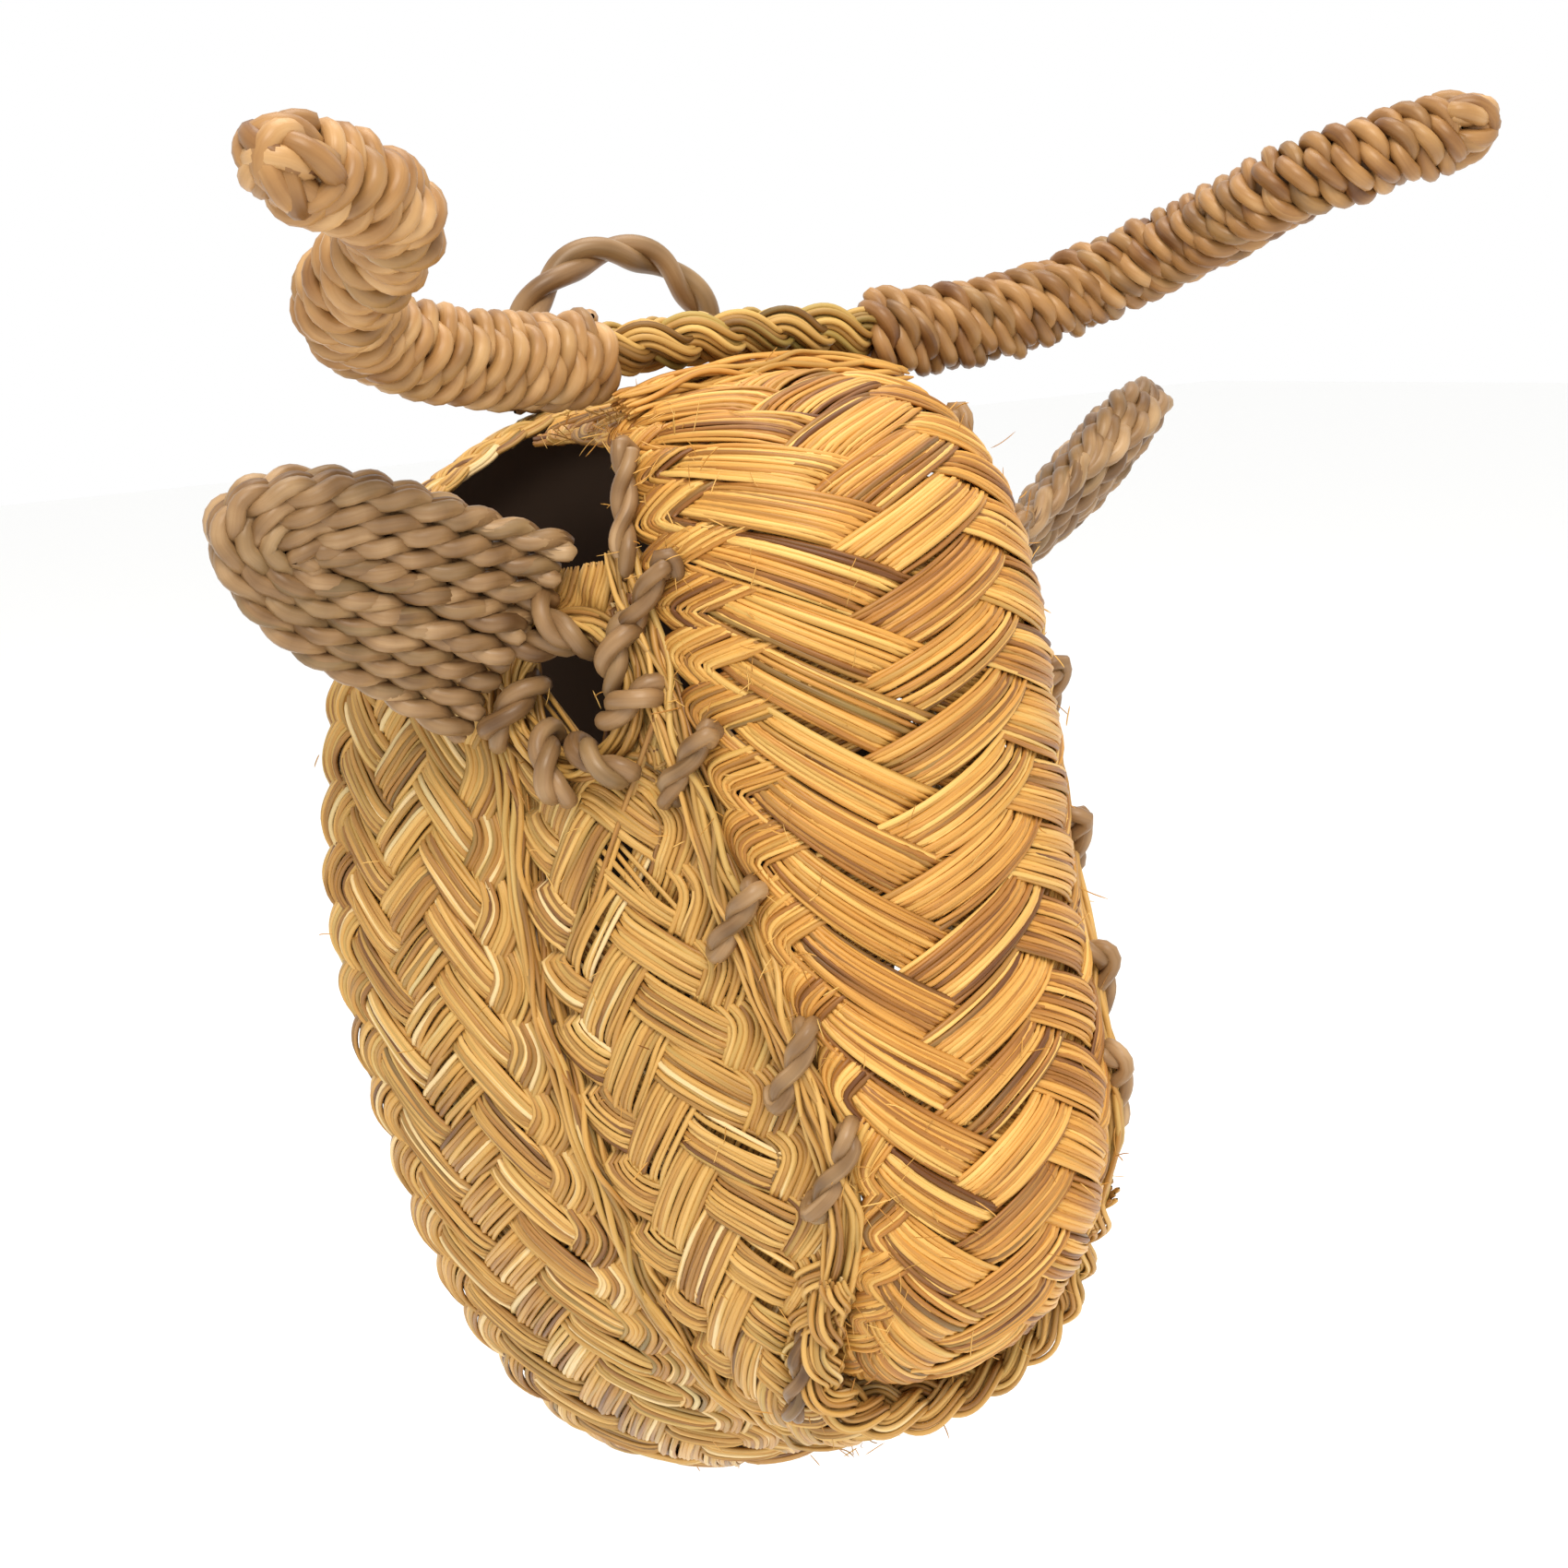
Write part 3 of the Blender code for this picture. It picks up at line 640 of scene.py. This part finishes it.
def horn_wrap(side, label):
    """Two-ply cord wound closely round the horn's core."""
    axis = horn_axis(side)
    run = np.linspace(0, 1, len(axis))
    length = float(distances(axis)[-1])
    tangents = unit(np.gradient(axis, axis=0))
    first = transported(tangents, np.array((0.0, 0.0, 1.0)))
    second = np.cross(tangents, first)
    turns = length / WRAP_PITCH
    t = np.linspace(0, 1, int(turns * 40))
    angle = 2 * math.pi * turns * t
    radius = HORN_RADIUS[0] + (HORN_RADIUS[1] - HORN_RADIUS[0]) * t - WRAP_CORD / 2
    radius = radius + wobble(t * length, 0.3, 14)
    slip = wobble(t * length, 0.35, 9) / length

    def along(values):
        return np.stack([np.interp(t + slip, run, values[:, i]) for i in range(3)], axis=-1)
    path = along(axis) + along(first) * (np.cos(angle) * radius)[:, None] \
        + along(second) * (np.sin(angle) * radius)[:, None]
    tubes = Tubes(10)
    twist(tubes, path, WRAP_CORD, WRAP_LAY, tone=0.55, hand=-side, fatness=0.30, spread=0.14)
    tubes.build(f"horn_cord_{label}", TAN, replaces=[f"horn_wrap_{label}"])


def horn_end(side, label):
    """The folded ends of the core that show at the tip."""
    start = np.array((side * HORN_LINE[-1][0], *HORN_LINE[-1][1:]), float)
    end = np.array((side * HORN_TIP_END[0], *HORN_TIP_END[1:]), float)
    axis = unit(end - start)
    across = unit(np.cross(axis, (0, 0, 1)))
    up = np.cross(across, axis)
    reach = np.linalg.norm(end - start)
    tubes = Tubes(10)
    for number in range(5):
        turn = math.pi * number / 5 + 0.3
        direction = across * math.cos(turn) + up * math.sin(turn)
        aside = np.cross(axis, direction) * (number % 2 - 0.5) * 2.0
        arc = np.linspace(-1.75, 1.75, 30)
        swell = 4.9 - 0.4 * number
        path = start + axis * (np.cos(arc) * (reach - 2.6))[:, None] \
            + direction * (np.sin(arc) * swell)[:, None] + aside
        twist(tubes, path, 5.2, 15, tone=0.5, start=number, fatness=0.3)
    tubes.build(f"horn_end_{label}", TAN, replaces=[f"horn_tip_{label}"])


# ---- ears ----------------------------------------------------------------------------------
def ear(side, label, tip, width_direction):
    """Cord laid in nested loops round the ear's tip, with its ends running down to the head."""
    base = np.array((side * 52.5, -48.5, -55.5))
    axis = unit(np.array(tip) - base)
    width = np.array(width_direction)
    width = unit(width - axis * np.dot(width, axis))
    normal = np.cross(axis, width)
    centre = base + axis * EAR_HALF[0]
    tubes = Tubes(10)
    for face in (1, 0, -1):
        for row in range(4):
            half_width = EAR_HALF[1] - EAR_SPACING * (row + 0.45)
            reach = EAR_HALF[0] - EAR_SPACING * (row + 0.45) * 0.95
            turn = np.linspace(-1, 1, 90)
            angle = np.clip(turn * 1.6, -1, 1) * math.pi / 2
            tail = np.maximum(np.abs(turn) - 0.625, 0) / 0.375
            x = np.cos(angle) * reach * (1 - tail) - tail * EAR_HALF[0] * 1.2
            y = np.sin(angle) * half_width * (1 - 0.22 * x / EAR_HALF[0])
            inner = np.clip(1 - (x / EAR_HALF[0]) ** 2 * 0.9 - (y / EAR_HALF[1]) ** 2 * 0.9, 0.0, 1)
            z = face * ((EAR_HALF[2] - EAR_CORD / 2) * np.sqrt(inner) + 0.2) + wobble(turn * 40, 0.5, 17)
            z = z * (1 - tail * 0.5)
            path = centre + axis * x[:, None] + width * y[:, None] + normal * z[:, None]
            twist(tubes, path, EAR_CORD, 12.5, tone=0.52, start=row * 1.3, spread=0.12, hand=-1, fatness=0.325)
    for face in (1, -1):
        for row in (-0.5, 0.5):
            x = np.linspace(-1.15, 0.42, 40) * EAR_HALF[0]
            inner = np.clip(1 - (x / EAR_HALF[0]) ** 2 * 0.9, 0.35, 1)
            path = centre + axis * x[:, None] + width * (row * EAR_CORD) \
                + normal * (face * (EAR_HALF[2] - EAR_CORD / 2) * np.sqrt(inner))[:, None]
            twist(tubes, path, EAR_CORD, 12.5, tone=0.5, start=row * 2, spread=0.12, hand=-1, fatness=0.325)
    tubes.build(f"ear_cord_{label}", GREY, replaces=[f"ear_{label}"])


# ---- stitches ------------------------------------------------------------------------------
def height_on(edge, height):
    """Where along a falling edge the height is reached, as a share of its points."""
    at = np.linspace(0, 1, 800)
    return float(np.interp(-height, -spline(edge, at)[:, 2], at))


def nose_share(height):
    """The share along the nose band at which its edge falls to a height."""
    return (3 + height_on(NOSE_EDGE[3:12], height) * 8) / (len(NOSE_EDGE) - 1)


def front_share(height, side):
    """The same along the front strip, from its left end."""
    half = height_on(FRONT_EDGE[:7], height) * 6 / (len(FRONT_EDGE) - 1) / 2
    return half if side > 0 else 1 - half


def seam_stitches():
    """Slanting two-ply stitches from the nose band down to the front strip."""
    for side, label in SIDES:
        for number, height in enumerate(STITCH_HEIGHTS):
            low = height - STITCH_RISE
            lift = STITCH_LIFT - 0.6
            top = on_surface(nose_surface, nose_share(height + STITCH_RISE), side * STITCH_TOP_V, lift)
            if low > FRONT_EDGE[0][2]:
                foot = on_surface(nose_surface, nose_share(low), side * 0.99, lift)
            else:
                foot = on_surface(front_surface, front_share(low, side), STITCH_FOOT_V, lift)
            inwards = unit(INSIDE - (top + foot) / 2) * 4.5
            route = np.array([top + inwards, top + (foot - top) * 0.04, top + (foot - top) * 0.35,
                              top + (foot - top) * 0.7, top + (foot - top) * 0.97, foot + inwards])
            tubes = Tubes(12)
            smooth = spline(route, np.linspace(0, 1, 40))
            twist(tubes, smooth, STITCH * 1.08, 14, tone=0.55, start=number, spread=0.1, fatness=0.3)
            tubes.build(f"stitch_{label}_{number + 1}", GREY, replaces=[f"seam_stitch_{label}_{number + 1}"])


def mouth_stitches():
    for side, label in SIDES:
        route = []
        for u, v, lift in ((0.338, 0.02, -2.0), (0.345, 0.10, 2.4), (0.362, 0.07, 2.6), (0.380, 0.12, 2.4),
                           (0.395, 0.24, 1.8), (0.400, 0.28, -2.0)):
            route.append(on_surface(front_surface, u if side > 0 else 1 - u, v, lift))
        tubes = Tubes(12)
        twist(tubes, spline(route, np.linspace(0, 1, 50)), STITCH, 14, tone=0.45)
        tubes.build(f"mouth_cord_{label}", GREY, replaces=[f"mouth_stitch_{label}"])


def ear_lashings():
    for side, label in SIDES:
        route = []
        for u, v, lift in ((0.001, 0.56, -2.0), (0.004, 0.62, 2.6), (0.014, 0.72, 2.9), (0.028, 0.80, 2.7),
                           (0.032, 0.84, -2.0)):
            route.append(on_surface(front_surface, u if side > 0 else 1 - u, v, lift))
        tubes = Tubes(12)
        twist(tubes, spline(route, np.linspace(0, 1, 50)), STITCH, 14, tone=0.45)
        tubes.build(f"ear_lashing_cord_{label}", GREY, replaces=[f"ear_lashing_{label}"])


def eye_rims():
    """Whip stitches of cord over the straw at the edge of each eye hole."""
    for side, label in SIDES:
        u = EYE_U if side > 0 else 1 - EYE_U
        centre = on_surface(front_surface, u, EYE_V, 0)
        normal = unit(on_surface(front_surface, u, EYE_V, 1) - centre)
        across = unit(on_surface(front_surface, u, EYE_V + 0.1, 0)
                      - on_surface(front_surface, u, EYE_V - 0.1, 0))
        along = np.cross(normal, across)
        tubes = Tubes(12)
        stitches = 7
        for number in range(stitches):
            angle = 2 * math.pi * (number + rng.uniform(-0.18, 0.18)) / stitches
            lean = 1.0
            out = across * math.cos(angle) + along * math.sin(angle)
            aside = along * math.cos(angle) - across * math.sin(angle)
            edge = EYE_SIZE / 2 - 0.6
            points = []
            for share, far, lift in ((0.0, edge + 0.8, -4.6), (0.12, edge - 0.9, -1.6), (0.35, edge + 0.4, 1.5),
                                     (0.65, edge + 3.2, 2.9), (0.9, edge + 5.8, 2.1), (1.0, edge + 6.8, -1.4)):
                swing = (share - 0.4) * lean * 9
                points.append(centre + out * far + aside * swing + normal * lift)
            twist(tubes, spline(points, np.linspace(0, 1, 40)), 5.2, 14, tone=0.5, start=number, spread=0.1,
                  fatness=0.3)
        tubes.build(f"eye_whipping_{label}", GREY, replaces=[f"eye_rim_{label}"])
        ring = Tubes(5)
        turn = np.linspace(0, 2 * math.pi * 1.04, 60)[:, None]
        circle = centre + (across * np.cos(turn) + along * np.sin(turn)) * (EYE_SIZE / 2 + 2.3) - normal * 0.8
        bundle(ring, circle, 2.2, 12, 0.5, 0.45)
        ring.build(f"eye_ring_{label}", PALE)


def jaw_seam():
    """The sewing cord between the two jaw strips."""
    route = []
    for i in range(80):
        u = 0.01 + 0.98 * i / 79
        before = on_surface(front_surface, u, 1.0, -WALL / 2)
        behind = on_surface(rear_surface, u, 0.0, -WALL / 2)
        route.append((before + behind) / 2)
    tubes = Tubes(8)
    twist(tubes, route, 2.2, 9, tone=0.4, step=1.3)
    tubes.build("jaw_seam_twine", GREY, replaces=["jaw_seam_cord"])


# ---- straw that closes the seams -----------------------------------------------------------
def seam_straw():
    """Culms that run down the seams, between the nose band and the front strip and between the jaw strips."""
    for side, label in SIDES:
        route = []
        for height in np.linspace(-42, -171, 40):
            nose = spline(NOSE_EDGE[3:], np.array(height_on(NOSE_EDGE[3:], height)))
            front = spline(FRONT_EDGE, np.array(height_on(FRONT_EDGE, height)))
            route.append((nose * 0.5 + front * 0.5 + (0.2, -0.4, 0)) * (side, 1, 1))
        tubes = Tubes(5)
        bundle(tubes, route, 3.0, 22, 0.5, 0.5)
        tubes.build(f"seam_straw_{label}", PALE)
    tubes = Tubes(5)
    middle = [on_surface(front_surface, u, 1.0, -1.2) for u in np.linspace(0.01, 0.99, 60)]
    behind = [on_surface(rear_surface, u, 0.0, -1.2) for u in np.linspace(0.01, 0.99, 60)]
    bundle(tubes, (np.array(middle) + np.array(behind)) / 2, 2.6, 20, 0.52, 0.45)
    tubes.build("jaw_seam_straw", PALE)


def crown_straw():
    """The turned-up top edge of the nose band, in front of the braid."""
    tubes = Tubes(5)
    t = np.linspace(-1, 1, 60)
    edge = np.stack([t * 28, -53.5 + 2.0 * t ** 2, -18.6 - 4.5 * t ** 2], axis=-1)
    bundle(tubes, edge, 3.6, 34, 0.55, 0.55, drift=0.8)
    tubes.build("crown_edge_straw", GOLD)


def loose_fibres():
    """Broken fibres that stand off the plait."""
    tubes = Tubes(3)
    places = [(nose_sheet, 0.55, 260), (nose_sheet, 1.0, 120), (front_sheet, 1.0, 150), (rear_sheet, 1.0, 60)]
    for sheet, reach, count in places:
        for _ in range(count):
            x = rng.uniform(-1, 1) if reach == 1.0 else -rng.uniform(reach, 1.0)
            point, normal = sheet.at(np.array([rng.uniform(5, sheet.length - 3)]), np.array([x]))
            heading = unit(rng.normal(size=3) + normal[0] * 0.35)
            bend = rng.normal(size=3) * 0.35
            length = rng.uniform(1.8, 5.0)
            t = np.linspace(0, 1, 7)[:, None]
            path = point[0] + normal[0] * 0.4 + heading * t * length + bend * t * t * length * 0.5
            tubes.add(path, rng.uniform(0.07, 0.14), pick_tone(0.2, 0.7))
    tubes.build("loose_fibres", GOLD)


# ---- braids --------------------------------------------------------------------------------
def braid(tubes, route, start, spread, wave, strand_radius, culms, culm_radius, tone=0.5):
    """Three bundles of straw plaited round each other along a route."""
    path, first, second, run = framed(route, 0.6, start)
    for strand in range(3):
        phase = 2 * math.pi * (run / wave + strand / 3)
        middle = path + first * (spread[0] * np.sin(phase))[:, None] \
            + second * (spread[1] * np.sin(2 * phase))[:, None]
        tangents = unit(np.gradient(middle, axis=0))
        side = transported(tangents, first[0])
        other = np.cross(tangents, side)
        for number in range(culms):
            angle = number * GOLDEN_ANGLE
            out = strand_radius * math.sqrt((number + 0.5) / culms)
            course = middle + side * (math.cos(angle) * out + wobble(run, 0.25, 22))[:, None] \
                + other * (math.sin(angle) * out + wobble(run, 0.25, 22))[:, None]
            tubes.add(course, culm_radius, pick_tone(0.24, tone))


def crown_braid():
    """The greenish braid between the horns."""
    tubes = Tubes(6)
    t = np.linspace(-1, 1, 60)
    route = np.stack([t * 27.5, -44.5 + t ** 2 * 0.9, -12.0 - t ** 2 * 1.4], axis=-1)
    braid(tubes, route, (0.0, 1.0, 0.0), (3.1, 1.5), 27.0, 2.9, 19, 0.62)
    tubes.build("crown_plait", GREEN, replaces=["crown_braid"])


def lip_braid():
    """The thick plaited edge of the lower lip."""
    tubes = Tubes(5)
    route = spline(mirrored(FRONT_EDGE[6:]) + (0, -0.6, 1.0), np.linspace(0, 1, 90))
    braid(tubes, route, (0.0, -1.0, 0.0), (3.0, 1.5), 25.0, 2.4, 14, 0.5, 0.5)
    tubes.build("lip_plait", PALE)


# ---- stage ---------------------------------------------------------------------------------
def plain_material(name, colour, roughness):
    material = bpy.data.materials.new(name)
    material.use_nodes = True
    shader = material.node_tree.nodes["Principled BSDF"]
    shader.inputs["Base Color"].default_value = (*colour, 1)
    shader.inputs["Roughness"].default_value = roughness
    return material


def area_light(name, place, size, power, colour, target=(0.0, -0.05, -0.10)):
    data = bpy.data.lights.new(name, "AREA")
    data.size = size
    data.energy = power
    data.color = colour
    light = bpy.data.objects.new(name, data)
    bpy.context.scene.collection.objects.link(light)
    light.location = place
    light.rotation_euler = (Vector(target) - Vector(place)).to_track_quat("-Z", "Y").to_euler()


def stage():
    world = bpy.data.worlds.new("world")
    bpy.context.scene.world = world
    world.use_nodes = True
    background = world.node_tree.nodes["Background"]
    background.inputs["Color"].default_value = (1.0, 1.0, 1.0, 1)
    background.inputs["Strength"].default_value = 1.0
    bpy.context.scene.view_settings.view_transform = "Standard"
    mesh = bpy.data.meshes.new("floor")
    size, drop = 4.0, cad_box[0][2] - 0.10
    corners = [(-size, -size, drop), (size, -size, drop), (size, size, drop), (-size, size, drop)]
    mesh.from_pydata(corners, [], [(0, 1, 2, 3)])
    mesh.materials.append(plain_material("pale_floor", (0.97, 0.97, 0.96), 0.9))
    floor = bpy.data.objects.new("floor", mesh)
    bpy.context.scene.collection.objects.link(floor)
    # A patch of wall inside the head's rear rim, seen through the eye holes and the temple gaps. Its near-black
    # brown is painted shade: it stands in for the shade that falls on a pale wall inside the head.
    centre = np.array((0.0, 0.0, -130.0))
    below = centre + (mirrored(REAR_EDGE) - centre) * 0.945
    above = centre + (mirrored(ARCH_REAR)[::-1] - centre) * 0.985
    outline = np.vstack([below, above]) + (0, 0.8, 0)
    wall = bpy.data.meshes.new("painted_shade_wall_patch")
    wall.from_pydata([tuple(c * MM for c in point) for point in outline], [], [tuple(range(len(outline)))])
    # painted shade: the patch is coloured dark brown instead of being lit dark
    wall.materials.append(plain_material("painted_shade_wall", (0.045, 0.025, 0.014), 0.9))
    patch = bpy.data.objects.new("painted_shade_wall_patch", wall)
    bpy.context.scene.collection.objects.link(patch)
    area_light("key", (-0.35, -0.75, 0.75), 0.5, 9.0, (1.0, 0.93, 0.82))
    area_light("top", (0.15, 0.05, 0.9), 0.6, 5.0, (1.0, 0.95, 0.88))


# ---- everything ----------------------------------------------------------------------------
hanging_loop()
loop_knots()
weave("nose_plait", nose_sheet, NOSE_PLAIT, 15, 0.485, GOLD, ["nose_band"], tone=0.52, stretch=1.03)
weave("front_jaw_plait", front_sheet, FRONT_PLAIT, 10, 0.52, PALE, ["front_jaw_strip"], holes=eye_holes(),
      tone=0.48, stretch=1.1)
weave("rear_jaw_plait", rear_sheet, REAR_PLAIT, 10, 0.55, PALE, ["rear_jaw_strip"], tone=0.5)
weave("rear_arch_plait", arch_sheet, ARCH_PLAIT, 7, 0.5, PALE, ["rear_arch"], tone=0.4)
crown_braid()
lip_braid()
for horn_side, horn_label in SIDES:
    horn_wrap(horn_side, horn_label)
    horn_end(horn_side, horn_label)
    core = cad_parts[f"horn_core_{horn_label}"]
    core.data.materials.clear()
    core.data.materials.append(GREEN)
ear(-1, "right", (-94.0, -46.5, -33.0), (0.30, -0.35, 0.89))
ear(1, "left", (92.0, -44.0, -31.0), (-0.13, -0.80, 0.58))
ear_lashings()
eye_rims()
seam_stitches()
mouth_stitches()
jaw_seam()
seam_straw()
crown_straw()
loose_fibres()
stage()
